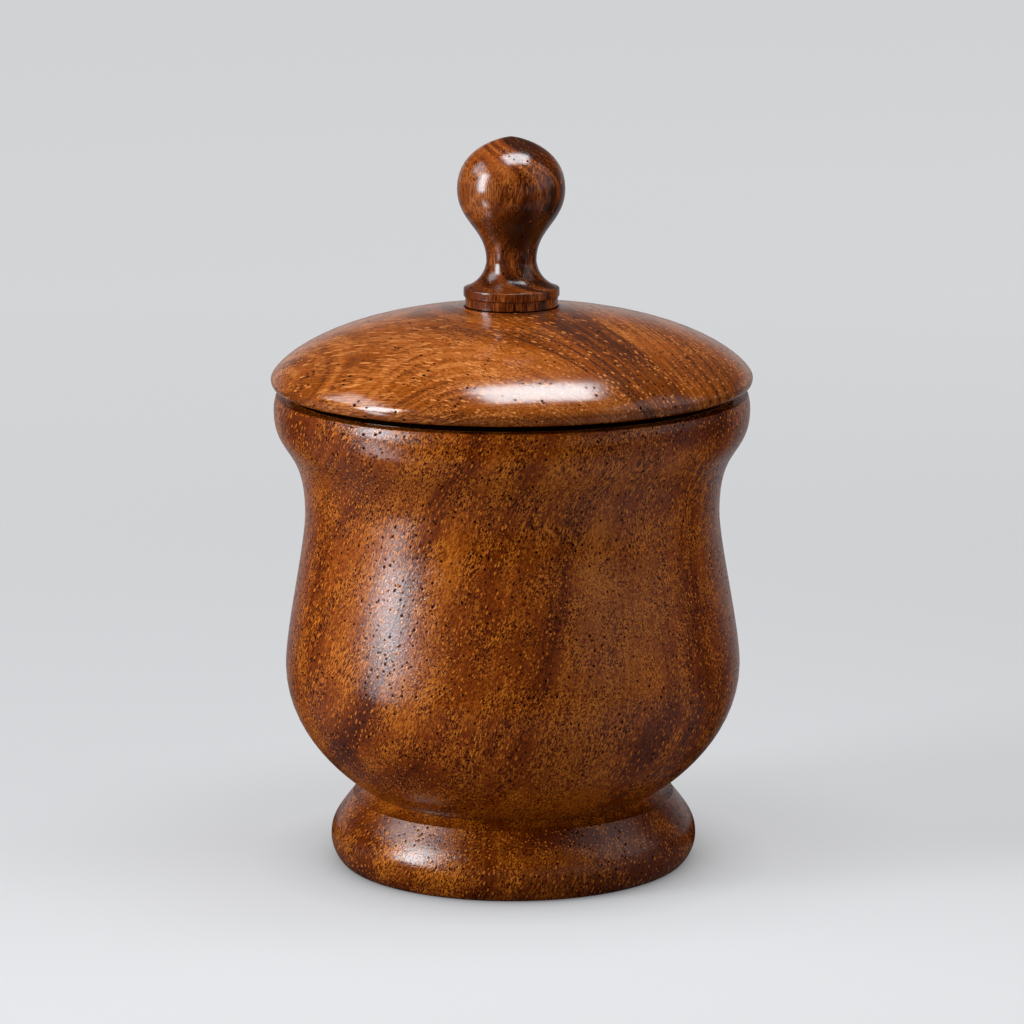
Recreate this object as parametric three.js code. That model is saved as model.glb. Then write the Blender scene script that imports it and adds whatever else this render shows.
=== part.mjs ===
// A turned wooden soup tureen: foot, bowl, lid and knob, each a solid of revolution about +Z.
// Millimetres. The origin is the centre of the foot's underside.

import * as THREE from "three";

// Foot: a low round pedestal. Heights are above the table.
const footHeight = 26.5;
const footRadius = 65.65;
const footWidestHeight = 8.7;
const footBaseInset = 4.65;
const footShoulderDrop = 2.3;
const footShoulderWidth = 5.6;
const footRimWidth = 13;
const footRecessDepth = 3;

// Glued joint between foot and bowl.
const creaseRadius = 52;
const spigotRadius = 38;
const spigotLength = 8;
const glueGap = 0.3;

// Bowl. Heights are above the crease where it stands on the foot.
const bowlHeight = 142.7;
const bellyRadius = 81.25;
const bellyHeight = 45.2;
const waistRadius = 73.7;
const waistHeight = 100.7;
const rimRadius = 84.4;
const rimWidestDrop = 5.3;
const rimTopInset = 0.65;
const rimRounding = 0.7;
const rimWall = 8.8;
const bowlWall = 8;
const bowlFloor = 10;
const mouthDepth = 10;

// Lid. Heights are above the rim that it rests on.
const lidHeight = 31;
const lidOverhang = 0.85;
const lidWidestHeight = 6.1;
const lidLipInset = 2.25;
const lidLipHeight = 2.6;
const lidSeatWidth = 2.9;
const lidMiddleThickness = 12;
const lidRingDepth = 6;
const lidRingWidth = 8;
const lidClearance = 0.6;
const knobSeatMargin = 0.85;
const knobSeatRise = 0.7;

// Knob. Heights are above the lid's seat.
const knobHeight = 60.1;
const plinthRadius = 16.35;
const plinthHeight = 3.6;
const plinthGroove = 0.35;
const flangeOverhang = 0.6;
const flangeHeight = 3.3;
const flangeRounding = 0.7;
const neckRadius = 8.84;
const neckHeight = 16.3;
const ballRadius = 19.05;
const ballHeight = 41.7;
const tenonRadius = 6;
const tenonLength = 8;

// How far the bowl's wall runs upright from its belly and from its waist, outside and inside,
// as shares of the height between the two.
const bellyFullness = 0.232;
const waistFullness = 0.213;

// Facets round the axis and steps along one curve of an outline.
const bodyFacets = 48;
const knobFacets = 32;
const longSteps = 9;
const shortSteps = 5;
const edgeSteps = 2;

// Levels of the joints above the table, and the radii that two pieces share.
const creaseLevel = footHeight;
const rimLevel = creaseLevel + bowlHeight;
const knobLevel = rimLevel + lidHeight;
const mouthRadius = rimRadius - rimWall;

// A point of an outline: its distance from the axis and its height.
function at(radius, height) {
  return new THREE.Vector2(radius, height);
}

// A smooth stretch of an outline. Its two handles are places in the box that start and end span,
// where 0, 0 is the start and 1, 1 the end.
function curve(start, leave, arrive, end, steps) {
  const span = end.clone().sub(start);
  const handle = ([across, up]) => at(start.x + across * span.x, start.y + up * span.y);
  return new THREE.CubicBezierCurve(start, handle(leave), handle(arrive), end).getPoints(steps);
}

// A rounded corner between two points of an outline.
function rounded(start, corner, end, steps = edgeSteps) {
  return new THREE.QuadraticBezierCurve(start, corner, end).getPoints(steps);
}

// Turns a half outline once round the axis. It starts and ends on the axis and goes up the outside.
function turned(name, outline, facets, color, roughness) {
  const points = outline.filter((point, i) => i === 0 || point.distanceTo(outline[i - 1]) > 1e-6);
  const geometry = new THREE.LatheGeometry(points, facets);
  geometry.rotateX(Math.PI / 2);
  const material = new THREE.MeshStandardMaterial({ color, roughness, metalness: 0 });
  const mesh = new THREE.Mesh(geometry, material);
  mesh.name = name;
  return mesh;
}

function makeFoot() {
  const base = at(footRadius - footBaseInset, 0);
  const widest = at(footRadius, footWidestHeight);
  const shoulder = at(creaseRadius + footShoulderWidth, footHeight - footShoulderDrop);
  const crease = at(creaseRadius, footHeight);
  const coveMiddle = at(creaseRadius + 0.4 * footShoulderWidth, shoulder.y);
  const recessRadius = base.x - footRimWidth;
  const socketRadius = spigotRadius + glueGap;
  const socketFloor = footHeight - spigotLength - glueGap;
  const outline = [
    at(0, footRecessDepth),
    at(recessRadius, footRecessDepth),
    at(recessRadius, 0),
    ...curve(base, [0.375, 0], [1, 0.53], widest, shortSteps),
    ...curve(widest, [0, 0.37], [0.31, 0.54], shoulder, shortSteps),
    ...rounded(shoulder, coveMiddle, crease),
    at(socketRadius, footHeight),
    at(socketRadius, socketFloor),
    at(0, socketFloor),
  ];
  return turned("foot", outline, bodyFacets, 0x7d4622, 0.4);
}

function makeBowl() {
  const spigotEnd = creaseLevel - spigotLength;
  const crease = at(creaseRadius, creaseLevel);
  const belly = at(bellyRadius, creaseLevel + bellyHeight);
  const waist = at(waistRadius, creaseLevel + waistHeight);
  const rim = at(rimRadius, rimLevel - rimWidestDrop);
  const rimTopRadius = rimRadius - rimTopInset;
  const rimEdge = at(rimTopRadius, rimLevel - rimRounding);
  const rimTop = at(rimTopRadius - rimRounding, rimLevel);
  const mouth = at(mouthRadius, rimLevel - mouthDepth);
  const innerWaist = at(waistRadius - bowlWall, waist.y);
  const innerBelly = at(bellyRadius - bowlWall, belly.y);
  const floor = at(0, creaseLevel + bowlFloor);
  const outline = [
    at(0, spigotEnd),
    at(spigotRadius, spigotEnd),
    at(spigotRadius, creaseLevel),
    ...curve(crease, [0.093, 0.03], [1, 0.393], belly, longSteps),
    ...curve(belly, [0, bellyFullness], [1, 1 - waistFullness], waist, shortSteps),
    ...curve(waist, [0, 0.68], [1, 0.575], rim, longSteps),
    ...rounded(rim, at(rimRadius, 0.5 * (rim.y + rimEdge.y)), rimEdge),
    ...rounded(rimEdge, at(rimTopRadius, rimLevel), rimTop),
    at(mouthRadius, rimLevel),
    ...curve(mouth, [0, 0.35], [1, 0.55], innerWaist, shortSteps),
    ...curve(innerWaist, [0, waistFullness], [1, 1 - bellyFullness], innerBelly, shortSteps),
    ...curve(innerBelly, [0, 0.72], [0.26, 1], floor, longSteps),
  ];
  return turned("bowl", outline, bodyFacets, 0x7a4320, 0.35);
}

function makeLid() {
  const ringRadius = mouthRadius - lidClearance;
  const hollowRadius = ringRadius - lidRingWidth;
  const ringBottom = rimLevel - lidRingDepth;
  const hollowTop = at(0, knobLevel - lidMiddleThickness);
  const hollowEdge = at(hollowRadius, rimLevel + 0.3 * (hollowTop.y - rimLevel));
  const seatRadius = mouthRadius + lidSeatWidth;
  const lidRadius = rimRadius + lidOverhang;
  const lip = at(lidRadius - lidLipInset, rimLevel + lidLipHeight);
  const widest = at(lidRadius, rimLevel + lidWidestHeight);
  const lipRounding = at(lidRadius, lip.y + 0.2 * (widest.y - lip.y));
  const knobSeat = at(plinthRadius + knobSeatMargin, knobLevel);
  const domeTop = at(knobSeat.x, knobLevel - knobSeatRise);
  const holeRadius = tenonRadius + glueGap;
  const holeFloor = knobLevel - tenonLength - glueGap;
  const outline = [
    ...curve(hollowTop, [0.6, 0], [1, 0.3], hollowEdge, longSteps),
    at(hollowRadius, ringBottom),
    at(ringRadius, ringBottom),
    at(ringRadius, rimLevel),
    at(seatRadius, rimLevel),
    at(seatRadius, lip.y),
    ...rounded(lip, lipRounding, widest, shortSteps),
    ...curve(widest, [0, 0.128], [0.234, 0.866], domeTop, longSteps),
    knobSeat,
    at(holeRadius, knobLevel),
    at(holeRadius, holeFloor),
    at(0, holeFloor),
  ];
  return turned("lid", outline, bodyFacets, 0x74401f, 0.35);
}

function makeKnob() {
  const tenonEnd = knobLevel - tenonLength;
  const plinthTop = knobLevel + plinthHeight;
  const flangeRadius = plinthRadius + flangeOverhang;
  const flangeTop = plinthTop + flangeHeight;
  const flangeUnder = at(flangeRadius, plinthTop + flangeRounding);
  const flangeSide = at(flangeRadius, flangeTop - flangeRounding);
  const flangeEdge = at(flangeRadius - flangeRounding, flangeTop);
  const neck = at(neckRadius, knobLevel + neckHeight);
  const ball = at(ballRadius, knobLevel + ballHeight);
  const top = at(0, knobLevel + knobHeight);
  const outline = [
    at(0, tenonEnd),
    at(tenonRadius, tenonEnd),
    at(tenonRadius, knobLevel),
    at(plinthRadius, knobLevel),
    at(plinthRadius, plinthTop - plinthGroove),
    at(plinthRadius - plinthGroove, plinthTop),
    ...rounded(at(plinthRadius, plinthTop), at(flangeRadius, plinthTop), flangeUnder),
    ...rounded(flangeSide, at(flangeRadius, flangeTop), flangeEdge),
    ...curve(flangeEdge, [0.9, 0.26], [1, 0.9], neck, shortSteps),
    ...curve(neck, [0, 0.45], [1, 0.542], ball, longSteps),
    ...curve(ball, [0, 0.842], [0.92, 1], top, longSteps),
  ];
  return turned("knob", outline, knobFacets, 0x6c3c24, 0.3);
}

const tureen = new THREE.Group();
tureen.name = "soup_tureen";
tureen.add(makeFoot(), makeBowl(), makeLid(), makeKnob());

export default tureen;
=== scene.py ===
"""A turned wooden soup tureen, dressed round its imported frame.

Foot, bowl, lid and knob are each turned from a half outline by one lathe made of geometry nodes.
Metres, +Z up, the origin at the centre of the foot's underside, -Y towards the viewer.
"""

import functools
import math

import bmesh
import bpy
from mathutils import Matrix, Vector


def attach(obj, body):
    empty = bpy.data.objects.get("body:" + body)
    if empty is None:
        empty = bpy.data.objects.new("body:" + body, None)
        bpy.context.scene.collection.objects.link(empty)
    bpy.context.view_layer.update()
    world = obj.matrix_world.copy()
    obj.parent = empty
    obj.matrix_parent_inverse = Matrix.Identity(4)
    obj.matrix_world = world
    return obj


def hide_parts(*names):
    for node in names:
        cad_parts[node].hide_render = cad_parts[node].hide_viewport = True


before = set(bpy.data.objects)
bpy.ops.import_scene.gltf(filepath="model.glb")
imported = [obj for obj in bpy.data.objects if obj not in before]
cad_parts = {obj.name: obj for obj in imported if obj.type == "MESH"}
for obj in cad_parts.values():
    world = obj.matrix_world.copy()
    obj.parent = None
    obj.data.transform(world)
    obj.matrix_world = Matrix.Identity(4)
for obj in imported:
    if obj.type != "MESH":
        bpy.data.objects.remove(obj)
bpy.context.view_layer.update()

bl_info = {
    "name": "Turned soup tureen",
    "version": (1, 0, 0),
    "blender": (4, 5, 0),
    "location": "View3D > Sidebar > Tureen",
    "description": "Turns a wooden soup tureen with a lift-off lid and lights it on a pale ground",
    "category": "Add Mesh",
}

MM = 0.001
WELD = 0.001 * MM
NO_HANDLE = None
SMOOTH = {"interpolation_type": "SMOOTHSTEP"}
FACETS = 192
CRISP_DEGREES = 30

# Growth bands are given as far as this from the pith, in millimetres.
RING_REACH = 160.0

# How far the fibres run before they drift and the growth lines change, in millimetres.
SLOW_RUN = 45

# Where the paper's paleness is given from, in front of the tureen, and up to, behind it, and how
# far the paper reaches, in metres.
GLOW_FRONT, GLOW_BACK = -0.5, 3.5
PAPER_REACH = 7.0


def linear(hex_colour):
    """Turns an sRGB hex colour such as 8a4a18 into the linear values that Blender works in."""
    shares = [int(hex_colour[i:i + 2], 16) / 255 for i in (0, 2, 4)]
    return [s / 12.92 if s <= 0.04045 else ((s + 0.055) / 1.055) ** 2.4 for s in shares]


def length(name, default, description):
    """A size in metres that a user may change. Its default is given in millimetres."""
    return bpy.props.FloatProperty(
        name=name, description=description, default=default * MM, unit="LENGTH", precision=5
    )


def lengths(**rows):
    """Sizes that a user may change, named by their rows, each in millimetres and described."""
    return {
        name: length(name.replace("_", " ").capitalize(), default, description)
        for name, (default, description) in rows.items()
    }


def share(name, default, description):
    """A plain number that a user may change."""
    return bpy.props.FloatProperty(name=name, description=description, default=default, precision=3)


def angle(name, degrees, description):
    """An angle that a user may change."""
    return bpy.props.FloatProperty(
        name=name, description=description, default=math.radians(degrees), subtype="ANGLE"
    )


def direction(name, default, description):
    """A direction that a user may change."""
    return bpy.props.FloatVectorProperty(
        name=name, description=description, default=default, subtype="DIRECTION"
    )


def colour(name, hex_colour, description):
    """A colour that a user may change."""
    return bpy.props.FloatVectorProperty(
        name=name, description=description, default=linear(hex_colour),
        subtype="COLOR", size=3, min=0, max=1,
    )


def add_node(tree, family, kind, inputs=None, stops=(), **settings):
    """Adds a node, gives it its settings and its ramp's stops, and fills or links its inputs.

    Family and kind make up its type. An input is a value, a socket, or a node, which stands for
    its first socket.
    """
    node = tree.nodes.new(family + kind)
    for name, value in settings.items():
        setattr(node, name, value)
    if stops:
        elements = node.color_ramp.elements
        elements.remove(elements[1])
        elements[0].position, elements[0].color = stops[0][0], (*stops[0][1], 1)
        for at, value in stops[1:]:
            elements.new(at).color = (*value, 1)
    for key, value in (inputs or {}).items():
        if isinstance(value, bpy.types.Node):
            value = value.outputs[0]
        if isinstance(value, bpy.types.NodeSocket):
            tree.links.new(value, node.inputs[key])
        else:
            node.inputs[key].default_value = value
    return node


def start_nodes(owner):
    """Empties the nodes of a material or world, and gives what adds a shader node there."""
    owner.use_nodes = True
    owner.node_tree.nodes.clear()
    return functools.partial(add_node, owner.node_tree, "ShaderNode")


# The lathe

class Outline:
    """Half an outline of a turned piece: knots from the axis, up the outside and back again."""

    def __init__(self, radius, height):
        self.knots = [[NO_HANDLE, Vector((radius, 0, height)), NO_HANDLE]]

    def to(self, *points):
        """Goes straight to each point."""
        for radius, height in points:
            self.knots.append([NO_HANDLE, Vector((radius, 0, height)), NO_HANDLE])

    def curve(self, leave, arrive, point):
        """Goes along a smooth curve. Its handles are shares of the box from start to end."""
        start, end = self.knots[-1][1], Vector((point[0], 0, point[1]))
        span = end - start
        self.knots[-1][2] = start + Vector((leave[0] * span.x, 0, leave[1] * span.z))
        arriving = start + Vector((arrive[0] * span.x, 0, arrive[1] * span.z))
        self.knots.append([arriving, end, NO_HANDLE])

    def rounded(self, corner, point):
        """Rounds a corner and ends at the point."""
        start, end = self.knots[-1][1], Vector((point[0], 0, point[1]))
        corner = Vector((corner[0], 0, corner[1]))
        self.knots[-1][2] = start.lerp(corner, 2 / 3)
        self.knots.append([end.lerp(corner, 2 / 3), end, NO_HANDLE])


def make_curve(name, outline, steps):
    """Draws an outline as a Bezier curve, each smooth stretch in that many steps."""
    curve = bpy.data.curves.new(name, "CURVE")
    curve.dimensions = "3D"
    spline = curve.splines.new("BEZIER")
    spline.resolution_u = steps
    spline.bezier_points.add(len(outline.knots) - 1)
    for knot, (before, point, after) in zip(spline.bezier_points, outline.knots):
        knot.handle_left_type = "VECTOR" if before is NO_HANDLE else "FREE"
        knot.handle_right_type = "VECTOR" if after is NO_HANDLE else "FREE"
        knot.co = point
        knot.handle_left = point if before is NO_HANDLE else before
        knot.handle_right = point if after is NO_HANDLE else after
    drawn = bpy.data.objects.new(name, curve)
    bpy.context.scene.collection.objects.link(drawn)
    return drawn


def make_lathe():
    """The lathe: turns a curve's points once round the axis and gives the closed skin its wood."""
    tree = bpy.data.node_groups.new("Lathe", "GeometryNodeTree")
    add = functools.partial(add_node, tree, "")
    face = tree.interface
    face.new_socket("Outline", in_out="INPUT", socket_type="NodeSocketGeometry")
    facets = face.new_socket("Facets", in_out="INPUT", socket_type="NodeSocketInt")
    facets.default_value, facets.min_value = FACETS, 3
    crisp = face.new_socket("Crisp Angle", in_out="INPUT", socket_type="NodeSocketFloat")
    crisp.default_value, crisp.subtype = math.radians(CRISP_DEGREES), "ANGLE"
    face.new_socket("Wood", in_out="INPUT", socket_type="NodeSocketMaterial")
    face.new_socket("Turned", in_out="OUTPUT", socket_type="NodeSocketGeometry")
    given = add("NodeGroupInput").outputs
    points = add("GeometryNodeCurveToPoints", {"Curve": given["Outline"]}, mode="EVALUATED")
    count = add("GeometryNodeAttributeDomainSize", {"Geometry": points}, component="POINTCLOUD")
    rows = count.outputs["Point Count"]
    columns = add("ShaderNodeMath", {0: given["Facets"], 1: 1.0}, operation="ADD")
    grid = add("GeometryNodeMeshGrid", {"Vertices X": columns, "Vertices Y": rows})
    index = add("GeometryNodeInputIndex")
    row = add("ShaderNodeMath", {0: index, 1: rows}, operation="MODULO")
    ratio = add("ShaderNodeMath", {0: index, 1: rows}, operation="DIVIDE")
    column = add("ShaderNodeMath", {0: ratio}, operation="FLOOR")
    place = add("GeometryNodeInputPosition")
    sample = add("GeometryNodeSampleIndex", {"Geometry": points, "Value": place, "Index": row},
                 data_type="FLOAT_VECTOR")
    step = add("ShaderNodeMath", {0: 2 * math.pi, 1: given["Facets"]}, operation="DIVIDE")
    swing = add("ShaderNodeMath", {0: column, 1: step}, operation="MULTIPLY")
    turned = add("ShaderNodeVectorRotate", {"Vector": sample.outputs["Value"], "Angle": swing},
                 rotation_type="Z_AXIS")
    moved = add("GeometryNodeSetPosition", {"Geometry": grid, "Position": turned})
    closed = add("GeometryNodeMergeByDistance", {"Geometry": moved, "Distance": WELD})
    smooth = add("GeometryNodeSetShadeSmooth", {"Geometry": closed})
    fold = add("GeometryNodeInputMeshEdgeAngle").outputs["Unsigned Angle"]
    sharp = add("FunctionNodeCompare", {0: fold, 1: given["Crisp Angle"]}, operation="GREATER_THAN")
    edges = add("GeometryNodeSetShadeSmooth", {
        "Geometry": smooth, "Selection": sharp, "Shade Smooth": False,
    }, domain="EDGE")
    real = add("GeometryNodeRealizeInstances", {"Geometry": edges})
    wooden = add("GeometryNodeSetMaterial", {"Geometry": real, "Material": given["Wood"]})
    add("NodeGroupOutput", {"Turned": wooden})
    return tree


def turn(node, body, outline):
    """Turns an outline into a plain mesh piece of its wood, which rides on its body.

    It stands for its CAD node, whose name also finds its look, its bands and its streaks.
    """
    scene = bpy.context.scene
    name = "turned_" + node
    settings = scene.tureen_turning
    lathe = bpy.data.node_groups.get("Lathe") or make_lathe()
    look = getattr(scene, f"tureen_{node}_wood")
    values = {
        "Facets": settings.facets,
        "Crisp Angle": settings.crisp_angle,
        "Wood": make_wood(f"{node.capitalize()} hardwood", look, BANDS[node], STREAKS[node]),
    }
    drawn = make_curve(name + "_outline", outline, settings.steps)
    modifier = drawn.modifiers.new("Lathe", "NODES")
    modifier.node_group = lathe
    for item in lathe.interface.items_tree:
        if item.item_type == "SOCKET" and item.in_out == "INPUT" and item.name in values:
            modifier[item.identifier] = values[item.name]
    ready = drawn.evaluated_get(bpy.context.evaluated_depsgraph_get())
    mesh = bpy.data.meshes.new_from_object(ready)
    mesh.name = name
    curve = drawn.data
    bpy.data.objects.remove(drawn)
    bpy.data.curves.remove(curve)
    skin = bmesh.new()
    skin.from_mesh(mesh)
    bmesh.ops.remove_doubles(skin, verts=skin.verts, dist=WELD)
    bmesh.ops.recalc_face_normals(skin, faces=skin.faces)
    if not skin.faces or any(not edge.is_manifold for edge in skin.edges):
        raise RuntimeError(f"{name} didn't come off the lathe as a closed skin")
    skin.to_mesh(mesh)
    skin.free()
    piece = bpy.data.objects.new(name, mesh)
    scene.collection.objects.link(piece)
    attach(piece, body)
    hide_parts(node)


# The wood

def lay_grain(add, look):
    """The wood's own place in millimetres, wandering a little, and the same with fibres upwards."""
    place = add("TexCoord")
    straight = add("Mapping", {
        "Vector": place.outputs["Object"], "Location": look.block, "Scale": (1000, 1000, 1000),
    })
    drift = add("TexNoise", {"Vector": straight, "Scale": 1 / SLOW_RUN, "Detail": 1.0})
    centred = add("VectorMath", {0: drift.outputs["Color"], 1: (0.5, 0.5, 0.5)},
                  operation="SUBTRACT")
    swing = add("VectorMath", {0: centred, "Scale": look.wander}, operation="SCALE")
    wood = add("VectorMath", {0: straight, 1: swing}, operation="ADD")
    upright = Vector(look.fibre).normalized().rotation_difference(Vector((0, 0, 1)))
    grain = add("Mapping", {"Vector": wood, "Rotation": upright.to_euler()})
    return wood, grain


def grow_rings(add, look, bands, wood, grain):
    """How light the wood is, from 0 to 1: growth bands round the pith, fading in and out."""
    pith = Vector(look.pith) * 1000 + Vector(look.block)
    from_pith = add("VectorMath", {0: wood, 1: pith}, operation="SUBTRACT")
    across = add("VectorMath", {0: from_pith, 1: Vector(look.pith_run).normalized()},
                 operation="CROSS_PRODUCT")
    ring = add("VectorMath", {0: across}, operation="LENGTH").outputs["Value"]
    share_out = add("Math", {0: ring, 1: RING_REACH}, operation="DIVIDE")
    band = add("ValToRGB", {0: share_out},
               [(at / RING_REACH, (tone, tone, tone)) for at, tone in bands])
    patch = add("Mapping", {"Vector": grain, "Scale": (1 / 14, 1 / 14, 1 / 38)})
    fading = add("TexNoise", {"Vector": patch, "Scale": 1.0, "Detail": 1.0})
    strength = add("MapRange", {
        "Value": fading, "From Min": 0.35, "From Max": 0.6, "To Min": 1 - look.fading,
    }, **SMOOTH)
    banded = add("Mix", {0: strength, 2: 0.5, 3: band})
    block = add("Mapping", {
        "Vector": grain, "Scale": (1 / look.cloud, 1 / look.cloud, 0.3 / look.cloud),
    })
    cloud = add("TexNoise", {"Vector": block, "Scale": 1.0, "Detail": 3.0, "Roughness": 0.55})
    clouded = add("MapRange", {
        "Value": cloud, "From Min": 0.25, "From Max": 0.75,
        "To Min": -look.cloudiness, "To Max": look.cloudiness,
    })
    tone = add("Math", {0: banded, 1: clouded}, operation="ADD")

    # Fine growth lines run with the bands, 1 to 2 mm apart, and show most in the dark wood.
    upward = add("SeparateXYZ", {0: grain})
    along = add("Math", {0: upward.outputs["Z"], 1: 1 / SLOW_RUN}, operation="MULTIPLY")
    out = add("Math", {0: ring, 1: look.line_spacing}, operation="DIVIDE")
    both = add("CombineXYZ", {"X": out, "Y": along})
    line = add("TexNoise", {
        "Vector": both, "Scale": 1.0, "Detail": 1.0, "Roughness": 0.6,
    }, noise_dimensions="2D")
    lined = add("MapRange", {
        "Value": line, "From Min": 0.3, "From Max": 0.7,
        "To Min": -look.lines, "To Max": look.lines,
    })
    deeper = add("MapRange", {
        "Value": tone, "From Min": 0.25, "From Max": 0.65, "To Min": 1.8, "To Max": 0.5,
    })
    toned = add("Math", {0: lined, 1: deeper, 2: tone}, operation="MULTIPLY_ADD", use_clamp=True)

    # The bands use the middle of the range from dark to light; fibres and flecks reach its ends.
    return add("MapRange", {"Value": toned, "To Min": 0.12, "To Max": 0.82})


def streak_tone(add, wood, look, tone, streaks):
    """Darkens or lightens the wood along soft streaks, such as heartwood that comes to the surface.
    Some dark ones are painted shade: low on the foot where it meets the ground, and round the
    knob's plinth and under its ball.

    A streak is its two ends and its radius in millimetres, and how much it adds to the tone.
    """
    for start, end, radius, change in streaks:
        start, end = Vector(start), Vector(end)
        run = end - start
        oval = add("Mapping", {
            "Vector": wood, "Location": (start + end) / 2 + Vector(look.block),
            "Rotation": run.to_track_quat("Z", "Y").to_euler(),
            "Scale": (radius, radius, radius + run.length / 2),
        }, vector_type="TEXTURE")
        out = add("VectorMath", {0: oval}, operation="LENGTH").outputs["Value"]
        soft = add("MapRange", {
            "Value": out, "From Min": 0.4, "From Max": 1.3, "To Min": change, "To Max": 0.0,
        }, **SMOOTH)
        tone = add("Math", {0: tone, 1: soft}, operation="ADD")
    return tone


def strew(add, grain, spacing, radius, length_share, share_of, seed):
    """Small grains in the wood, longer along the fibres, cut where they meet the surface.

    Gives how deep inside a grain a place is, 0 outside and 1 at its middle. Each has its own
    thickness, and they stand in loose crowds, so that only that share of them is there.
    """
    sown = add("Mapping", {
        "Vector": grain, "Location": (seed, seed, seed),
        "Scale": (1 / spacing, 1 / spacing, 1 / (spacing * length_share)),
    })
    cells = add("TexVoronoi", {"Vector": sown, "Scale": 1.0}).outputs
    luck = add("SeparateColor", {0: cells["Color"]}).outputs
    spread = add("Mapping", {
        "Vector": grain, "Location": (seed, 0, seed), "Scale": (1 / 6, 1 / 6, 1 / 14),
    })
    crowd = add("TexNoise", {"Vector": spread, "Scale": 1.0, "Detail": 1.0})
    chance = add("Math", {0: luck["Red"], 1: crowd}, operation="ADD")
    there = add("MapRange", {
        "Value": chance, "From Min": 1.5 - share_of, "From Max": 1.6 - share_of,
    }, **SMOOTH)
    thickness = add("MapRange", {
        "Value": luck["Green"],
        "To Min": 0.75 * radius / spacing, "To Max": 1.25 * radius / spacing,
    })
    reach = add("Math", {0: cells["Distance"], 1: thickness}, operation="DIVIDE")
    inside = add("Math", {0: 1.0, 1: reach}, operation="SUBTRACT", use_clamp=True)
    return add("Math", {0: inside, 1: there}, operation="MULTIPLY")


def dark_ring(add, parts, height, half_height, radius):
    """A blackened ring, out to a radius and this far off a height: used for painted shade in the
    groove under the lid and for the dark glue line round the knob.
    """
    level = add("Math", {0: parts["Z"], 1: height, 2: half_height}, operation="COMPARE")
    flat = add("CombineXYZ", {"X": parts["X"], "Y": parts["Y"]})
    out = add("VectorMath", {0: flat}, operation="LENGTH").outputs["Value"]
    within = add("Math", {0: out, 1: radius}, operation="LESS_THAN")
    return add("Math", {0: level, 1: within}, operation="MULTIPLY")


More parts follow.
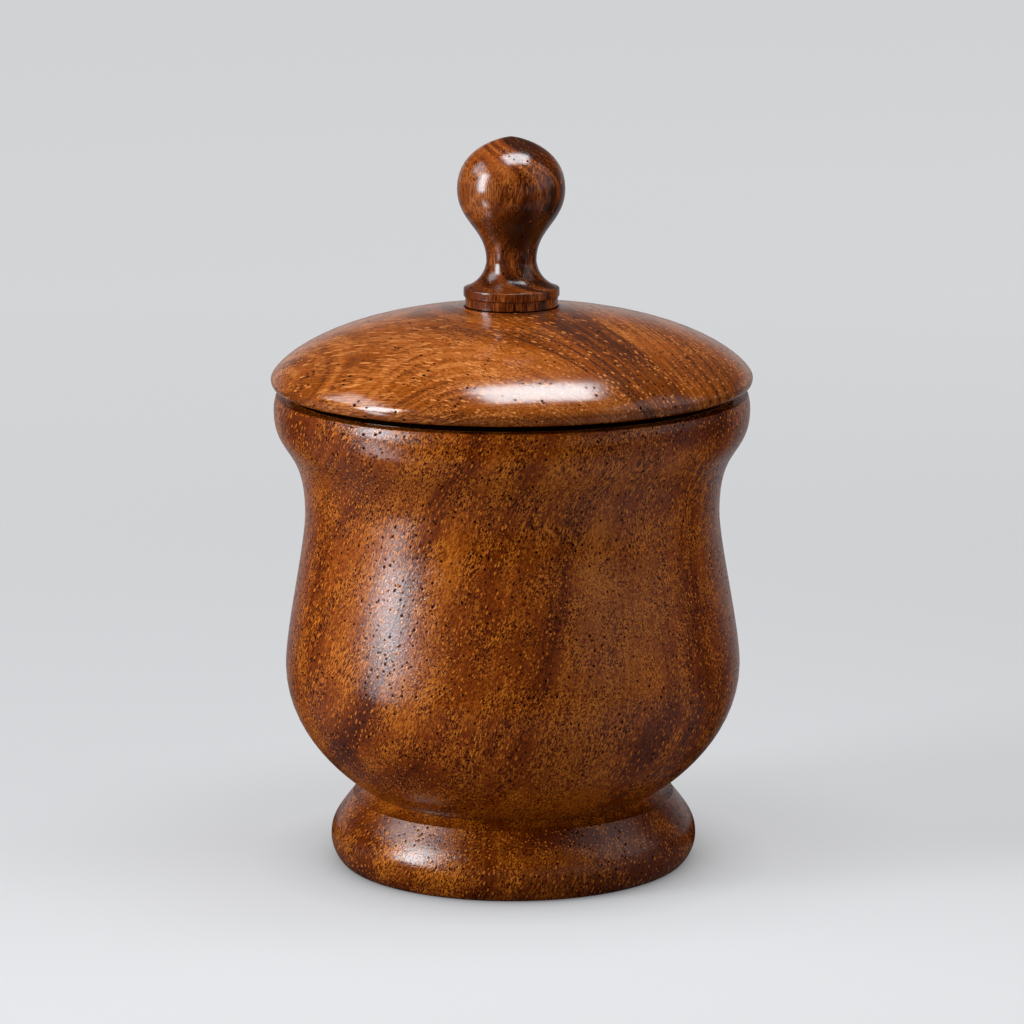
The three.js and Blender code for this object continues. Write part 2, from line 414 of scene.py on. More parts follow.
def make_wood(name, look, bands, streaks):
    """An oiled, open-pored tropical hardwood, cut, turned and rubbed to a satin sheen.

    The grain is a solid pattern in the piece's own place, in millimetres, with its fibres along one
    direction, so that they show as long lines where the surface runs with them, and as dots and
    short flecks where it cuts across them. Growth bands lie round a pith outside the piece.
    """
    material = bpy.data.materials.new(name)
    add = start_nodes(material)
    wood, grain = lay_grain(add, look)
    grown = streak_tone(add, wood, look, grow_rings(add, look, bands, wood, grain), streaks)

    # The cut fibres: fine worm-like ridges under 1 mm wide, drawn as 2 to 3 pixels.
    fibres = add("Mapping", {
        "Vector": grain,
        "Scale": (1 / look.ridge, 1 / look.ridge, 1 / (look.ridge * look.ridge_length)),
    })
    ridges = add("TexNoise", {
        "Vector": fibres, "Scale": 1.0, "Roughness": 0.65, "Distortion": 1.0,
    })
    shade = add("MapRange", {
        "Value": ridges, "From Min": 0.37, "From Max": 0.63,
        "To Min": -look.ridge_shade, "To Max": look.ridge_shade,
    }, **SMOOTH)
    spread = add("Mapping", {"Vector": grain, "Scale": (1 / 8, 1 / 8, 1 / 14)})
    patches = add("TexNoise", {"Vector": spread, "Scale": 1.0, "Detail": 1.0})
    crisp = add("MapRange", {
        "Value": patches, "From Min": 0.36, "From Max": 0.62, "To Min": 0.5, "To Max": 1.2,
    }, **SMOOTH)
    shaded = add("Math", {0: shade, 1: crisp, 2: grown}, operation="MULTIPLY_ADD")

    # Paler flecks and dark open pores, both drawn a little coarser than real ones, which wouldn't
    # show. A fleck has a thin darker edge.
    flecks = strew(add, grain, look.fleck_spacing, look.fleck_radius, look.fleck_length,
                   look.fleck_share, seed=3.7)
    edged = add("ValToRGB", {0: flecks},
                [(at, (v, v, v)) for at, v in ((0.0, 0.3), (0.12, 0.0), (0.38, 1.0), (1.0, 1.0))])
    pale = add("MapRange", {
        "Value": edged, "To Min": -0.45 * look.fleck_strength, "To Max": look.fleck_strength,
    })
    # The flecks stand out in the dark heartwood and fade in the light wood.
    contrast = add("MapRange", {
        "Value": grown, "From Min": 0.2, "From Max": 0.6, "To Min": 1.5, "To Max": 0.6,
    })
    tone = add("Math", {0: pale, 1: contrast, 2: shaded}, operation="MULTIPLY_ADD")
    body = add("ValToRGB", {0: tone}, [(0.0, look.dark), (0.5, look.middle), (1.0, look.light)])
    pores = strew(add, grain, look.pore_spacing, look.pore_radius, 1.3, look.pore_share, seed=0.0)
    open_pore = add("MapRange", {
        "Value": pores, "From Min": 0.25, "From Max": 0.45, "To Max": look.pore_depth,
    }, **SMOOTH)

    # Painted shade blackens the groove between rim and lid, where the gap under the lid lies in
    # shade. The glue line round the knob is dark too.
    vessel, cover = bpy.context.scene.tureen_vessel, bpy.context.scene.tureen_cover
    place = add("TexCoord")
    parts = add("SeparateXYZ", {0: place.outputs["Object"]}).outputs
    rim = vessel.foot_height + vessel.bowl_height
    groove = dark_ring(add, parts, rim + 0.55 * cover.lip_height, 0.53 * cover.lip_height,
                     vessel.rim_radius - 2.6 * MM)
    glue = dark_ring(add, parts, rim + cover.lid_height, 0.45 * MM, cover.plinth_radius + 0.4 * MM)
    black = add("Math", {0: groove, 1: glue}, operation="MAXIMUM")
    hidden = add("Math", {0: open_pore, 1: black}, operation="MAXIMUM")
    coloured = add("Mix", {0: hidden, 6: body, 7: (*linear("100602"), 1)}, data_type="RGBA")

    # The relief in millimetres: fibres stand up, flecks a little too, pores are pits.
    fibre_height = add("Math", {0: ridges, 1: look.ridge_relief}, operation="MULTIPLY")
    fleck_height = add("Math", {0: flecks, 1: look.fleck_relief, 2: fibre_height},
                       operation="MULTIPLY_ADD")
    relief = add("Math", {0: pores, 1: -look.pore_pit, 2: fleck_height}, operation="MULTIPLY_ADD")
    bump = add("Bump", {"Distance": 1.0 * MM, "Height": relief})

    # The oil's gloss varies a little with the fibres. Pores, the painted shade in the groove and
    # the glue line don't shine.
    gloss = add("MapRange", {
        "Value": ridges, "From Min": 0.3, "From Max": 0.7,
        "To Min": look.roughness - 0.03, "To Max": look.roughness + 0.03,
    })
    dull = add("MapRange", {
        "Value": pores, "From Min": 0.15, "From Max": 0.4, "To Min": look.shine, "To Max": 0.0,
    }, **SMOOTH)
    outside_shade_and_glue = add("Math", {0: 1.0, 1: black}, operation="SUBTRACT")
    oiled = add("Math", {0: dull, 1: outside_shade_and_glue}, operation="MULTIPLY")
    shader = add("BsdfPrincipled", {
        "Base Color": coloured.outputs[2], "Roughness": gloss, "Normal": bump,
        "Specular IOR Level": oiled, "IOR": 1.5, "Metallic": 0.0,
    })
    add("OutputMaterial", {"Surface": shader})
    return material


class WoodLook(bpy.types.PropertyGroup):
    """How one block of the wood was cut and what its grain shows."""

    fibre: direction("Fibre direction", (0, 0, 1), "Which way the fibres run")
    block: bpy.props.FloatVectorProperty(
        name="Place in the log", description="Moves the pattern along the log, in millimetres",
        default=(0, 0, 0),
    )
    pith: bpy.props.FloatVectorProperty(
        name="Pith", description="A point on the pith that the growth bands lie round",
        default=(0.06203, -0.02737, 0.09), subtype="TRANSLATION", unit="LENGTH",
    )
    pith_run: direction("Pith direction", (0.28, 0.03, 1.0), "Which way the pith runs")
    dark: colour("Dark wood", "491600", "Colour of the darkest fibres in the heartwood")
    middle: colour("Middle wood", "8b3903", "Colour of most of the wood")
    light: colour("Light wood", "d6771f", "Colour of the palest fibres and flecks")
    wander: share("Wander", 7.0, "How many millimetres the fibres stray from straight")
    fading: share("Band fading", 0.5, "How far the growth bands fade in places")
    cloud: share("Cloud size", 16.0, "Size of the darker and lighter clouds, in millimetres")
    cloudiness: share("Clouds", 0.25, "How strongly the clouds show")
    line_spacing: share("Growth line spacing", 1.6, "Distance between growth lines, in millimetres")
    lines: share("Growth lines", 0.1, "How strongly the growth lines show")
    ridge: share("Fibre width", 0.5, "Width of the cut fibres, in millimetres")
    ridge_length: share("Fibre length", 3.0, "Length of the cut fibres, where 1 is their width")
    ridge_shade: share("Fibre shade", 0.42, "How far the cut fibres lighten and darken the wood")
    ridge_relief: share("Fibre relief", 0.07, "Height of the cut fibres, in millimetres")
    fleck_spacing: share("Fleck spacing", 1.0, "Distance between flecks, in millimetres")
    fleck_radius: share("Fleck radius", 0.4, "Radius of a fleck, in millimetres")
    fleck_length: share("Fleck length", 3.0, "Length of a fleck, where 1 is its width")
    fleck_share: share("Fleck share", 0.55, "Share of the flecks that are there")
    fleck_strength: share("Fleck strength", 0.65, "How strongly the flecks show")
    fleck_relief: share("Fleck relief", 0.03, "Height of the flecks, in millimetres")
    pore_spacing: share("Pore spacing", 1.8, "Distance between pores, in millimetres")
    pore_radius: share("Pore radius", 0.56, "Radius of a pore's mouth, in millimetres")
    pore_share: share("Pore share", 0.75, "Share of the pores that are open")
    pore_depth: share("Pore darkness", 0.95, "How dark the pores are")
    pore_pit: share("Pore pit", 0.1, "Depth of a pore's pit, in millimetres")
    roughness: share("Roughness", 0.165, "Roughness of the rubbed oil")
    shine: share("Shine", 0.54, "How strongly the rubbed oil reflects, where 0.5 is plain varnish")


class Turning(bpy.types.PropertyGroup):
    """How finely the pieces are turned."""

    facets: bpy.props.IntProperty(
        name="Facets", description="Facets round the axis", default=FACETS, min=12,
    )
    steps: bpy.props.IntProperty(
        name="Steps", description="Steps along each smooth stretch", default=16, min=2,
    )
    crisp_angle: angle("Crisp angle", CRISP_DEGREES, "Edges sharper than this stay crisp")


class VesselSizes(bpy.types.PropertyGroup):
    """Sizes of the foot and the bowl. Bowl heights are above the crease between the two."""

    __annotations__ = lengths(
        foot_height=(26.5, "Height of the foot to the crease under the bowl"),
        foot_radius=(65.65, "Widest radius of the foot"),
        foot_widest_height=(8.7, "Height of the foot's widest place"),
        foot_base_inset=(4.65, "How far the base stands in"),
        foot_shoulder_drop=(2.3, "Depth of the cove at the foot's top"),
        foot_shoulder_width=(5.6, "Width of the cove at the foot's top"),
        foot_rim_width=(13, "Width of the flat ring that the foot stands on"),
        foot_recess=(3, "Depth of the recess under the foot"),
        crease_radius=(52, "Radius of the crease between foot and bowl"),
        spigot_radius=(38, "Radius of the bowl's glued spigot"),
        spigot_length=(8, "Length of the bowl's glued spigot"),
        glue_gap=(0.3, "Gap that the glue fills"),
        bowl_height=(142.7, "Height of the rim's top"),
        belly_radius=(81.25, "Radius of the bowl's belly"),
        belly_height=(45.2, "Height of the belly's widest place"),
        waist_radius=(73.7, "Radius of the bowl's waist"),
        waist_height=(100.7, "Height of the waist's narrowest place"),
        rim_radius=(84.4, "Widest radius of the rim"),
        rim_drop=(5.3, "How far the rim's widest place lies below its top"),
        rim_inset=(0.65, "How far the rim's top edge stands in"),
        rim_rounding=(0.7, "Rounding of the rim's top edge"),
        rim_wall=(8.8, "Thickness of the wall at the rim"),
        bowl_wall=(8, "Thickness of the wall at the belly and the waist"),
        bowl_floor=(10, "Height of the bowl's floor above the crease"),
        mouth_depth=(10, "Depth of the straight mouth that the ring drops in"),
    )


class CoverSizes(bpy.types.PropertyGroup):
    """Sizes of the lid and the knob. Lid heights are above the rim, knob heights above the lid."""

    __annotations__ = lengths(
        lid_height=(31, "Height of the knob's seat"),
        lid_overhang=(0.85, "How far the lid reaches past the rim"),
        lid_widest_height=(6.1, "Height of the lid's widest place"),
        lip_inset=(2.25, "How far the lid's lower lip stands in"),
        lip_height=(2.6, "Height of the lid's lower lip, which leaves a dark gap"),
        seat_width=(2.9, "Width of the ring that rests on the rim"),
        middle_thickness=(12, "Thickness of the lid at its middle"),
        ring_depth=(6, "Depth of the ring that drops in the mouth"),
        ring_width=(8, "Width of the ring that drops in the mouth"),
        clearance=(0.6, "Gap between the ring and the mouth"),
        knob_seat_margin=(0.85, "Width of the flat round the knob"),
        knob_seat_rise=(0.7, "Height of the knob's seat above the dome"),
        knob_height=(60.1, "Height of the knob"),
        plinth_radius=(16.35, "Radius of the knob's plinth"),
        plinth_height=(3.6, "Height of the knob's plinth"),
        plinth_groove=(0.35, "Depth of the groove over the plinth"),
        flange_overhang=(0.6, "How far the flange reaches past the plinth"),
        flange_height=(3.3, "Height of the flange over the plinth"),
        flange_rounding=(0.7, "Rounding of the flange's edges"),
        neck_radius=(8.84, "Radius of the knob's neck"),
        neck_height=(16.3, "Height of the neck's narrowest place"),
        ball_radius=(19.05, "Radius of the knob's ball"),
        ball_height=(41.7, "Height of the ball's widest place"),
        tenon_radius=(6, "Radius of the knob's glued tenon"),
        tenon_length=(8, "Length of the knob's glued tenon"),
    )


class Studio(bpy.types.PropertyGroup):
    """The ground, the lamps and the camera. A brightness of 1 is white."""

    ground: colour("Ground", "b0a9a8", "Colour of the pale ground")
    contact_shadow: share("Contact shadow", 0.88, "How much darker the ground is close to the foot")
    backdrop: share("Backdrop", 0.66, "Brightness of the room behind the tureen")
    room: share("Room", 0.01, "Brightness of the rest of the room")
    lens: bpy.props.FloatProperty(
        name="Lens", description="Focal length of the camera", default=160.03, unit="CAMERA",
    )
    distance: length("Distance", 1589.7, "How far the camera stands in front of the axis")
    height: length("Height", 443.7, "How high the camera stands above the ground")
    aside: length("Aside", -0.106, "How far the camera stands to the right of the axis")
    pitch: angle("Pitch", 11.3, "How far the camera looks down")
    roll: angle("Roll", -0.2, "How far the camera leans")
    side_light: share("Side light", 17.4, "Brightness of the tall lamp on the left")
    screen_light: share("Screen light", 4.5, "Brightness of the screen behind the tall lamp")
    low_light: share("Low light", 9.0, "Brightness of the low strip on the left, which only shines")
    top_light: share("Top light", 14.0, "Brightness of the lamp overhead")
    far_light: share("Far light", 0.6, "Brightness of the wide lamp on the right")
    edge_light: share("Edge light", 8.5, "Brightness of the shineless lamp far on the right")
    fill_light: share("Fill light", 4.0, "Brightness of the shineless lamp on the right")


# The pieces

class TUREEN_OT_foot(bpy.types.Operator):
    """Turns the foot"""

    bl_idname = "tureen.foot"
    bl_label = "Turn the foot"

    def execute(self, context):
        s = context.scene.tureen_vessel
        base = s.foot_radius - s.foot_base_inset
        recess = base - s.foot_rim_width
        shoulder = (s.crease_radius + s.foot_shoulder_width, s.foot_height - s.foot_shoulder_drop)
        cove = (s.crease_radius + 0.4 * s.foot_shoulder_width, shoulder[1])
        socket = s.spigot_radius + s.glue_gap
        floor = s.foot_height - s.spigot_length - s.glue_gap
        outline = Outline(0, s.foot_recess)
        outline.to((recess, s.foot_recess), (recess, 0), (base, 0))
        outline.curve((0.375, 0), (1, 0.53), (s.foot_radius, s.foot_widest_height))
        outline.curve((0, 0.37), (0.31, 0.54), shoulder)
        outline.rounded(cove, (s.crease_radius, s.foot_height))
        outline.to((socket, s.foot_height), (socket, floor), (0, floor))
        turn("foot", "vessel", outline)
        return {"FINISHED"}


class TUREEN_OT_bowl(bpy.types.Operator):
    """Turns the bowl"""

    bl_idname = "tureen.bowl"
    bl_label = "Turn the bowl"

    def execute(self, context):
        s = context.scene.tureen_vessel
        crease, rim_top = s.foot_height, s.foot_height + s.bowl_height
        belly, waist = crease + s.belly_height, crease + s.waist_height
        spigot_end = crease - s.spigot_length
        edge = s.rim_radius - s.rim_inset
        rim = rim_top - s.rim_drop
        lip = rim_top - s.rim_rounding
        mouth = s.rim_radius - s.rim_wall
        outline = Outline(0, spigot_end)
        outline.to((s.spigot_radius, spigot_end), (s.spigot_radius, crease),
                   (s.crease_radius, crease))
        outline.curve((0.093, 0.03), (1, 0.393), (s.belly_radius, belly))
        outline.curve((0, 0.232), (1, 0.787), (s.waist_radius, waist))
        outline.curve((0, 0.68), (1, 0.575), (s.rim_radius, rim))
        outline.rounded((s.rim_radius, 0.5 * (rim + lip)), (edge, lip))
        outline.rounded((edge, rim_top), (edge - s.rim_rounding, rim_top))
        outline.to((mouth, rim_top), (mouth, rim_top - s.mouth_depth))
        outline.curve((0, 0.35), (1, 0.55), (s.waist_radius - s.bowl_wall, waist))
        outline.curve((0, 0.213), (1, 0.768), (s.belly_radius - s.bowl_wall, belly))
        outline.curve((0, 0.72), (0.26, 1), (0, crease + s.bowl_floor))
        turn("bowl", "vessel", outline)
        return {"FINISHED"}


class TUREEN_OT_lid(bpy.types.Operator):
    """Turns the lid"""

    bl_idname = "tureen.lid"
    bl_label = "Turn the lid"

    def execute(self, context):
        v, s = context.scene.tureen_vessel, context.scene.tureen_cover
        rim = v.foot_height + v.bowl_height
        top = rim + s.lid_height
        mouth = v.rim_radius - v.rim_wall
        ring = mouth - s.clearance
        ring_end = rim - s.ring_depth
        hollow = ring - s.ring_width
        hollow_top = top - s.middle_thickness
        seat = mouth + s.seat_width
        radius = v.rim_radius + s.lid_overhang
        lip = rim + s.lip_height
        widest = rim + s.lid_widest_height
        knob_seat = s.plinth_radius + s.knob_seat_margin
        hole = s.tenon_radius + v.glue_gap
        hole_floor = top - s.tenon_length - v.glue_gap
        outline = Outline(0, hollow_top)
        outline.curve((0.6, 0), (1, 0.3), (hollow, rim + 0.3 * (hollow_top - rim)))
        outline.to((hollow, ring_end), (ring, ring_end), (ring, rim), (seat, rim), (seat, lip),
                   (radius - s.lip_inset, lip))
        outline.rounded((radius, lip + 0.2 * (widest - lip)), (radius, widest))
        outline.curve((0, 0.128), (0.234, 0.866), (knob_seat, top - s.knob_seat_rise))
        outline.to((knob_seat, top), (hole, top), (hole, hole_floor), (0, hole_floor))
        turn("lid", "cover", outline)
        return {"FINISHED"}


class TUREEN_OT_knob(bpy.types.Operator):
    """Turns the knob"""

    bl_idname = "tureen.knob"
    bl_label = "Turn the knob"

    def execute(self, context):
        v, s = context.scene.tureen_vessel, context.scene.tureen_cover
        seat = v.foot_height + v.bowl_height + s.lid_height
        tenon_end = seat - s.tenon_length
        plinth = seat + s.plinth_height
        flange = s.plinth_radius + s.flange_overhang
        flange_top = plinth + s.flange_height
        rounding = s.flange_rounding
        outline = Outline(0, tenon_end)
        outline.to((s.tenon_radius, tenon_end), (s.tenon_radius, seat), (s.plinth_radius, seat),
                   (s.plinth_radius, plinth - s.plinth_groove),
                   (s.plinth_radius - s.plinth_groove, plinth), (s.plinth_radius, plinth))
        outline.rounded((flange, plinth), (flange, plinth + rounding))
        outline.to((flange, flange_top - rounding))
        outline.rounded((flange, flange_top), (flange - rounding, flange_top))
        outline.curve((0.9, 0.26), (1, 0.9), (s.neck_radius, seat + s.neck_height))
        outline.curve((0, 0.45), (1, 0.542), (s.ball_radius, seat + s.ball_height))
        outline.curve((0, 0.842), (0.92, 1), (0, seat + s.knob_height))
        turn("knob", "cover", outline)
        return {"FINISHED"}


# The stage

def make_lamp(name, azimuth, elevation, distance, aim, size, brightness):
    """A flat soft lamp. Azimuth 0 is the viewer's side, and 90 the right; brightness 1 is white."""
    a, e = math.radians(azimuth), math.radians(elevation)
    towards = Vector((math.sin(a) * math.cos(e), -math.cos(a) * math.cos(e), math.sin(e)))
    lamp = bpy.data.lights.new(name, "AREA")
    lamp.shape = "RECTANGLE"
    lamp.size, lamp.size_y = size
    lamp.energy = brightness * math.pi * size[0] * size[1]
    lamp.color = linear("ecf8ff")
    holder = bpy.data.objects.new(name, lamp)
    holder.location = Vector(aim) + distance * towards
    holder.rotation_euler = towards.to_track_quat("Z", "Y").to_euler()
    holder.visible_camera = False
    bpy.context.scene.collection.objects.link(holder)
    return holder


def shine_around(add, parts):
    """How much shines on the tureen from each side."""
    across = add("Math", {0: parts["Y"], 1: -1.0}, operation="MULTIPLY")
    azimuth = add("Math", {0: parts["X"], 1: across}, operation="ARCTAN2")
    whole = add("MapRange", {"Value": azimuth, "From Min": -math.pi, "From Max": math.pi})
    return add("ValToRGB", {0: whole}, [((degrees + 180) / 360, (e, e, e)) for degrees, e in SHINE])


def make_paper(studio):
    """Seamless background paper: matt, evenly pale, lit by the lamps near the tureen.

    The camera sees it pale as far as it goes. What shines on the tureen is pale only near it and
    behind it, as in a studio whose front is dark.
    """
    material = bpy.data.materials.new("Matt seamless paper")
    add = start_nodes(material)
    place = add("TexCoord").outputs["Object"]
    parts = add("SeparateXYZ", {0: place}).outputs
    rays = add("LightPath").outputs

    # Its own paleness grows with the distance behind the tureen, as that of a paper curving up
    # there would.
    depth = add("MapRange", {"Value": parts["Y"], "From Min": GLOW_FRONT, "From Max": GLOW_BACK})
    pale = add("ValToRGB", {0: depth},
               [((y - GLOW_FRONT) / (GLOW_BACK - GLOW_FRONT), (e, e, e)) for y, e in PAPER_GLOW])

    # What shines on the tureen from the paper: less close to the foot and far in front.
    near = add("MapRange", {
        "Value": parts["Y"], "From Min": -0.50, "From Max": -0.30, "To Min": 0.1,
    }, **SMOOTH)
    reach = add("VectorMath", {0: place}, operation="LENGTH").outputs["Value"]
    clear = add("MapRange", {
        "Value": reach, "From Min": 0.08, "From Max": 0.22, "To Min": 0.45,
    }, **SMOOTH)
    free = add("Math", {0: near, 1: clear}, operation="MULTIPLY")
    front = add("Math", {0: free, 1: shine_around(add, parts)}, operation="MULTIPLY")
    shine = add("Mix", {0: rays["Is Glossy Ray"], 2: 1.0, 3: front})
    bounce = add("Math", {0: shine, 1: 0.7}, operation="MULTIPLY")
    straight = add("Math", {0: rays["Is Camera Ray"], 1: rays["Is Transmission Ray"]},
                   operation="MAXIMUM")
    lit = add("Mix", {0: straight, 2: bounce, 3: 0.5})
    tint = add("VectorMath", {0: tuple(studio.ground), "Scale": lit}, operation="SCALE")
    paper = add("BsdfDiffuse", {"Color": tint})
    shown = add("Math", {0: straight, 1: rays["Is Glossy Ray"]}, operation="MAXIMUM")
    faded = add("Math", {0: shown, 1: shine}, operation="MULTIPLY")

    # The soft shadow where the foot stands.
    covered = add("AmbientOcclusion", {"Distance": 0.03}, samples=8)
    shadow = add("MapRange", {"Value": covered.outputs["AO"], "To Min": 1 - studio.contact_shadow})
    shadowed = add("Math", {0: faded, 1: shadow}, operation="MULTIPLY")
    strength = add("Math", {0: shadowed, 1: pale}, operation="MULTIPLY")
    glow = add("Emission", {"Color": (0.97, 0.98, 1.0, 1), "Strength": strength})
    both = add("AddShader", {0: paper, 1: glow})
    add("OutputMaterial", {"Surface": both})
    return material


def make_world(studio):
    """The room: pale behind the tureen, dark at its sides and in front, pale to the camera."""
    world = bpy.data.worlds.new("Studio room")
    add = start_nodes(world)
    place = add("TexCoord")
    parts = add("SeparateXYZ", {0: place.outputs["Generated"]}).outputs
    low = add("MapRange", {
        "Value": parts["Z"], "From Min": 0.05, "From Max": 0.3, "To Min": 0.9, "To Max": 0.1,
    }, **SMOOTH)
    around = add("Math", {0: low, 1: shine_around(add, parts), 2: studio.room},
                 operation="MULTIPLY_ADD")
    rays = add("LightPath").outputs
    strength = add("Mix", {0: rays["Is Camera Ray"], 2: around, 3: studio.backdrop})
    sky = add("Background", {"Color": (0.97, 0.975, 1.0, 1), "Strength": strength})
    add("OutputWorld", {"Surface": sky})
    return world


class TUREEN_OT_stage(bpy.types.Operator):
    """Lays the pale ground, hangs the lamps and sets up the camera"""

    bl_idname = "tureen.stage"
    bl_label = "Set the stage"

    def execute(self, context):
        s = context.scene.tureen_studio
        mesh = bpy.data.meshes.new("ground")
        corners = ((-1, -1), (1, -1), (1, 1), (-1, 1))
        mesh.from_pydata([(x * PAPER_REACH, y * PAPER_REACH, 0) for x, y in corners],
                         [], [(0, 1, 2, 3)])
        ground = bpy.data.objects.new("ground", mesh)
        context.scene.collection.objects.link(ground)
        mesh.materials.append(make_paper(s))

        middle = (0, 0, 0.1)
        make_lamp("side_lamp", -67, 21, 1.415, middle, (0.42, 0.92), s.side_light)
        make_lamp("side_screen", -95, 40, 1.4, middle, (0.6, 0.5), s.screen_light)
        low = make_lamp("low_strip", -60.5, 0, 0.316, (0, 0, 0.082), (0.042, 0.1), s.low_light)
        low.visible_diffuse = False
        top = make_lamp("top_lamp", 0, 90, 0.45, (0.05, -0.03, 0.1), (0.22, 0.15), s.top_light)
        top.rotation_euler.rotate_axis("Z", math.radians(15))
        make_lamp("far_lamp", 80, 31, 1.4, middle, (1.0, 1.15), s.far_light)
        fill = make_lamp("fill_lamp", 45, 8, 2.5, middle, (0.9, 0.9), s.fill_light)
        edge = make_lamp("edge_fill", 112, 12, 2.5, middle, (0.9, 0.9), s.edge_light)
        fill.visible_glossy = edge.visible_glossy = False
        context.scene.world = make_world(s)

        camera = bpy.data.cameras.new("camera")
        camera.lens = s.lens
        camera.sensor_width = 36
        camera.clip_end = 50
        stand = bpy.data.objects.new("camera", camera)
        stand.matrix_world = (
            Matrix.Translation((s.aside, -s.distance, s.height))
            @ Matrix.Rotation(math.radians(90) - s.pitch, 4, "X")
            @ Matrix.Rotation(s.roll, 4, "Z")
        )
        context.scene.collection.objects.link(stand)
        context.scene.camera = stand
        context.scene.view_settings.view_transform = "Standard"
        return {"FINISHED"}


class TUREEN_PT_panel(bpy.types.Panel):
    """Lists the tureen's pieces and their sizes"""

    bl_idname = "TUREEN_PT_panel"
    bl_label = "Turned soup tureen"
    bl_space_type = "VIEW_3D"
    bl_region_type = "UI"
    bl_category = "Tureen"

    def draw(self, context):
        for operator in OPERATORS:
            self.layout.operator(operator.bl_idname)
        for group in GROUPS:
            box = self.layout.box()
            box.label(text=group.replace("tureen_", "").replace("_", " ").capitalize())
            settings = getattr(context.scene, group)
            for name in settings.bl_rna.properties.keys():
                if name not in ("rna_type", "name"):
                    box.prop(settings, name)


GROUPS = {
    "tureen_turning": Turning,
    "tureen_vessel": VesselSizes,
    "tureen_cover": CoverSizes,
    "tureen_foot_wood": WoodLook,
    "tureen_bowl_wood": WoodLook,
    "tureen_lid_wood": WoodLook,
    "tureen_knob_wood": WoodLook,
    "tureen_studio": Studio,
}
OPERATORS = (TUREEN_OT_stage, TUREEN_OT_foot, TUREEN_OT_bowl, TUREEN_OT_lid, TUREEN_OT_knob)
CLASSES = (WoodLook, Turning, VesselSizes, CoverSizes, Studio, *OPERATORS, TUREEN_PT_panel)

# Growth bands: distance from the pith in millimetres, and tone from 0, dark, to 1, light.
BANDS = {
    "foot": (
        (0, 0.5), (26, 0.15), (45, 0.7), (60, 0.45), (70, 0.1), (80, 0.6), (98, 0.85), (118, 0.4),
    ),
    "bowl": (
        (0, 0.3), (16, 0.25), (23, 0.18), (27, 0.5), (32, 0.5), (40, 0.72), (50, 0.6), (60, 0.72),
        (65, 0.5), (69, 0.15), (73, 0.42), (85, 0.5), (89, 0.3), (97, 0.8), (103, 0.65),
        (107, 0.1), (109, 0.12), (113, 0.7), (120, 0.7), (127, 0.35), (133, 0.4), (150, 0.5),
    ),
    "lid": (
        (0, 0.4), (48, 0.5), (57, 0.62), (60, 0.55), (64, 0.3), (70, 0.08), (79.5, 0.0),
        (81.5, 0.42), (88, 0.5), (92, 0.3), (100, 0.42), (112, 0.4),
    ),
    "knob": (
        (0, 0.05), (8, 0.1), (11, 0.3), (13, 0.15), (15, 0.6), (17, 0.35), (20, 0.7), (24, 0.55),
        (40, 0.6),
    ),
}
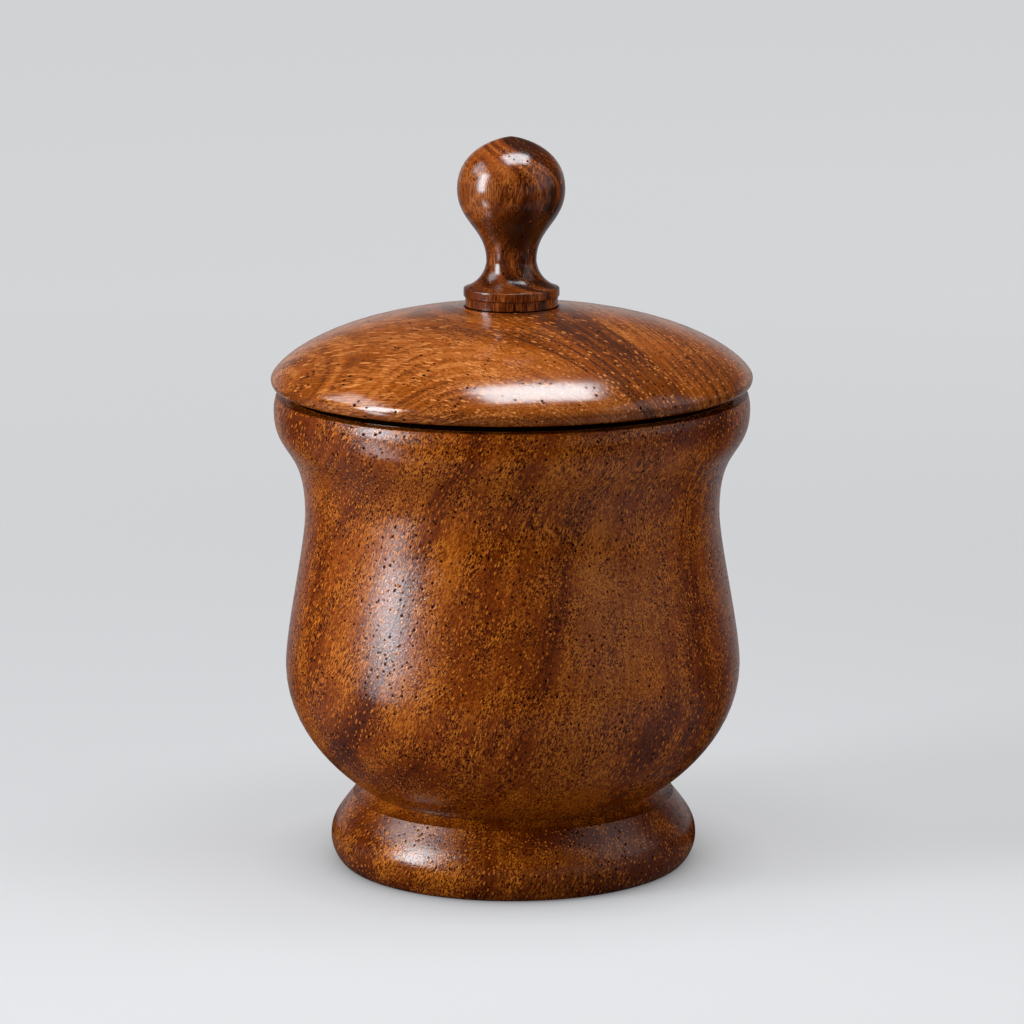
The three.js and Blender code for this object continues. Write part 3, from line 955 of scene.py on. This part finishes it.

# Streaks: two ends and a radius in millimetres, and the change of tone. Most follow the wood's
# figure; the dark ones noted below are painted shade.
STREAKS = {
    "foot": (
        # The dark streaks 0 to 6 mm up, along the foot's lower edge, are painted shade where the
        # foot meets the ground.
        ((-54, -37, 12), (-31, -44, 25), 9, -0.21), ((9, -58, 23), (27, -53, 22), 5, -0.34),
        ((38, -52, 15), (48, -42, 16), 7, 0.17), ((-58, -26, 2), (-43, -45, 1), 7, -0.4),
        ((44, -43, 0), (59, -23, 2), 6, -0.2), ((44, -47, 10), (56, -32, 10), 8, -0.25),
        ((6, -59, 21), (30, -54, 19), 7, -0.15), ((54, -25, 22), (60, -19, 18), 6, -0.34),
        ((-55, -21, 22), (-55, -33, 14), 7, -0.17), ((16, -63, 6), (38, -49, 0), 5, -0.21),
        ((-8, -65, 13), (6, -65, 11), 7, 0.12), ((-32, -56, 13), (-25, -60, 11), 7, 0.12),
    ),
    "bowl": (
        ((56, -59, 71), (43, -62, 50), 9, -0.38), ((-69, -44, 71), (-56, -47, 46), 12, -0.21),
        ((-13, -83, 159), (-12, -76, 102), 10, -0.15), ((15, -81, 155), (26, -70, 118), 14, 0.11),
        ((35, -67, 109), (34, -72, 88), 10, 0.11), ((-80, -27, 165), (-73, -42, 164), 8, -0.34),
        ((56, -63, 167), (72, -44, 166), 8, -0.45), ((-33, -74, 75), (-23, -72, 50), 15, -0.13),
        ((-3, -76, 144), (-8, -78, 97), 8, 0.1), ((11, -73, 127), (6, -75, 110), 8, 0.1),
        ((20, -78, 79), (12, -77, 54), 10, 0.1), ((34, -76, 155), (30, -70, 144), 9, 0.12),
        ((-12, -83, 162), (-16, -80, 153), 6, 0.14), ((43, -61, 121), (44, -63, 104), 12, 0.05),
        ((1, -84, 166), (4, -83, 157), 8, -0.19), ((42, -69, 67), (39, -69, 60), 8, -0.21),
        ((-48, -63, 58), (-32, -64, 44), 12, -0.13), ((-60, -45, 118), (-54, -58, 149), 10, 0.05),
        ((-44, -68, 77), (-39, -71, 71), 10, 0.11), ((-22, -79, 153), (-24, -70, 137), 7, -0.1),
        ((33, -71, 95), (35, -72, 81), 9, 0.07), ((62, -44, 125), (65, -45, 85), 6, -0.18),
        ((-67, -33, 116), (-71, -38, 81), 7, -0.17), ((-62, -44, 52), (-52, -47, 42), 10, -0.21),
        ((-51, -63, 73), (-56, -54, 56), 9, -0.12), ((26, -78, 154), (16, -80, 153), 10, 0.12),
        ((-16, -82, 157), (10, -82, 155), 8, 0.11), ((-25, -72, 110), (-23, -77, 83), 9, -0.09),
        ((-1, -77, 104), (-11, -80, 80), 8, -0.09), ((58, -49, 143), (33, -68, 142), 8, -0.13),
        ((65, -48, 72), (62, -49, 58), 8, -0.15), ((-4, -78, 55), (-3, -70, 42), 10, 0.08),
        ((-16, -83, 167), (-19, -81, 157), 7, -0.17), ((47, -70, 163), (54, -65, 164), 9, -0.17),
    ),
    "lid": (
        ((19, -29, 198), (41, -54, 189), 12, -0.22), ((-14, -36, 197), (12, -51, 194), 9, -0.15),
        ((-83, -13, 178), (-58, -32, 190), 12, 0.08), ((-23, -62, 189), (-4, -73, 186), 8, 0.07),
        ((44, -64, 184), (51, -67, 177), 6, 0.1), ((-25, -33, 197), (10, -51, 194), 8, -0.1),
        ((30, -50, 192), (47, -58, 185), 8, 0.14), ((-82, -6, 180), (-67, -13, 188), 10, 0.07),
        ((65, -44, 183), (81, -25, 173), 12, -0.15), ((33, -71, 170), (44, -72, 173), 5, -0.13),
        ((-39, -19, 196), (-21, -18, 199), 9, 0.11), ((-77, -27, 180), (-60, -24, 190), 8, 0.1),
        ((-24, -64, 189), (-14, -68, 188), 9, 0.07), ((38, -33, 195), (50, -35, 192), 8, 0.07),
        ((22, -61, 190), (42, -71, 179), 12, -0.08),
    ),
    "knob": (
        # The dark streaks low on the ball, 225 to 232 mm up, and round the plinth, 200 to 205 mm
        # up, are painted shade under the ball and between knob and lid.
        ((-1, -14, 229), (12, -10, 231), 9, -0.45), ((3, -18, 247), (7, -18, 240), 7, 0.14),
        ((0, 0, 200), (0, 0, 205), 22, -0.24), ((4, -6, 262), (6, -7, 260), 10, -0.3),
        ((-12, -9, 231), (-13, -2, 228), 5, -0.25), ((6, -15, 232), (2, -11, 225), 5, -0.29),
        ((-2, -9, 218), (-2, -9, 214), 4, 0.17), ((7, -6, 215), (8, -7, 212), 4, 0.24),
        ((-13, -13, 244), (-14, -12, 238), 8, 0.15), ((8, -16, 250), (8, -17, 238), 2.5, 0.12),
        ((13, -13, 248), (14, -12, 236), 4, -0.2),
    ),
}

# How pale the paper looks by itself, by the distance behind the tureen in metres.
PAPER_GLOW = (
    (-0.5, 0.601), (-0.18, 0.601), (-0.13, 0.591), (-0.06, 0.561), (0.02, 0.502), (0.11, 0.498),
    (0.31, 0.512), (0.43, 0.522), (0.57, 0.538), (0.9, 0.584), (1.34, 0.624), (1.97, 0.642),
    (3.5, 0.645),
)

# How much of the paper and the room shines on the tureen, by the azimuth in degrees. Azimuth 0 is
# the viewer's side, and 90 the right.
SHINE = (
    (-180, 0.45), (-150, 0.40), (-135, 0.04), (-118, 0.04), (-105, 0.25), (-75, 0.25),
    (-45, 0.16), (0, 0.08), (25, 0.13), (42, 0.27), (58, 0.28), (72, 0.25), (94, 0.25),
    (101, 0.03), (128, 0.03), (145, 0.40), (180, 0.45),
)

# How each piece's wood differs from a plain block of it.
WOODS = {
    "foot": dict(
        fibre=(0.35, -0.30, 0.88), block=(31, 17, 5), pith=(0.058, -0.032, 0.013),
        middle=linear("6e2b02"), ridge_shade=0.36, fleck_strength=0.5,
        roughness=0.14, shine=0.57,
    ),
    "bowl": dict(fibre=(0.35, -0.30, 0.88)),
    "lid": dict(
        fibre=(0.8, -0.58, 0.14), pith=(-0.014, -0.060, 0.138), pith_run=(0.305, -0.952, 0.0),
        dark=linear("4a2210"), middle=linear("94450d"), light=linear("d88442"),
        wander=2.0, cloudiness=0.15, line_spacing=1.1, lines=0.2,
        ridge=0.45, ridge_length=14.0, ridge_shade=0.26, ridge_relief=0.02,
        fleck_spacing=1.5, fleck_radius=0.52, fleck_length=7.0, fleck_share=0.75,
        fleck_strength=0.5, fleck_relief=0.01,
        pore_spacing=2.3, pore_radius=0.66, pore_share=0.55, pore_pit=0.06,
        roughness=0.14, shine=0.6,
    ),
    "knob": dict(
        fibre=(0.05, 0.02, 1.0), pith=(0.008, 0.0, 0.23), pith_run=(0.03, 0.0, 1.0),
        dark=linear("301204"), middle=linear("77330b"), light=linear("b5672d"),
        wander=4.0, cloud=9.0, lines=0.3,
        ridge=0.45, ridge_length=12.0, ridge_shade=0.3, ridge_relief=0.02,
        fleck_spacing=1.2, fleck_radius=0.4, fleck_length=5.5, fleck_share=0.25,
        fleck_strength=0.45, fleck_relief=0.01,
        pore_spacing=2.2, pore_radius=0.48, pore_share=0.6, pore_pit=0.06,
        roughness=0.17,
    ),
}


def register():
    """Makes the sizes, operators and panel known to Blender."""
    for item in CLASSES:
        bpy.utils.register_class(item)
    for name, group in GROUPS.items():
        setattr(bpy.types.Scene, name, bpy.props.PointerProperty(type=group))


def unregister():
    """Takes them away again."""
    for name in GROUPS:
        delattr(bpy.types.Scene, name)
    for item in reversed(CLASSES):
        bpy.utils.unregister_class(item)


def main():
    """Makes the stage and the pieces."""
    register()
    for node, values in WOODS.items():
        for key, value in values.items():
            setattr(getattr(bpy.context.scene, f"tureen_{node}_wood"), key, value)
    bpy.ops.tureen.stage()
    bpy.ops.tureen.foot()
    bpy.ops.tureen.bowl()
    bpy.ops.tureen.lid()
    bpy.ops.tureen.knob()


if __name__ == "__main__":
    main()
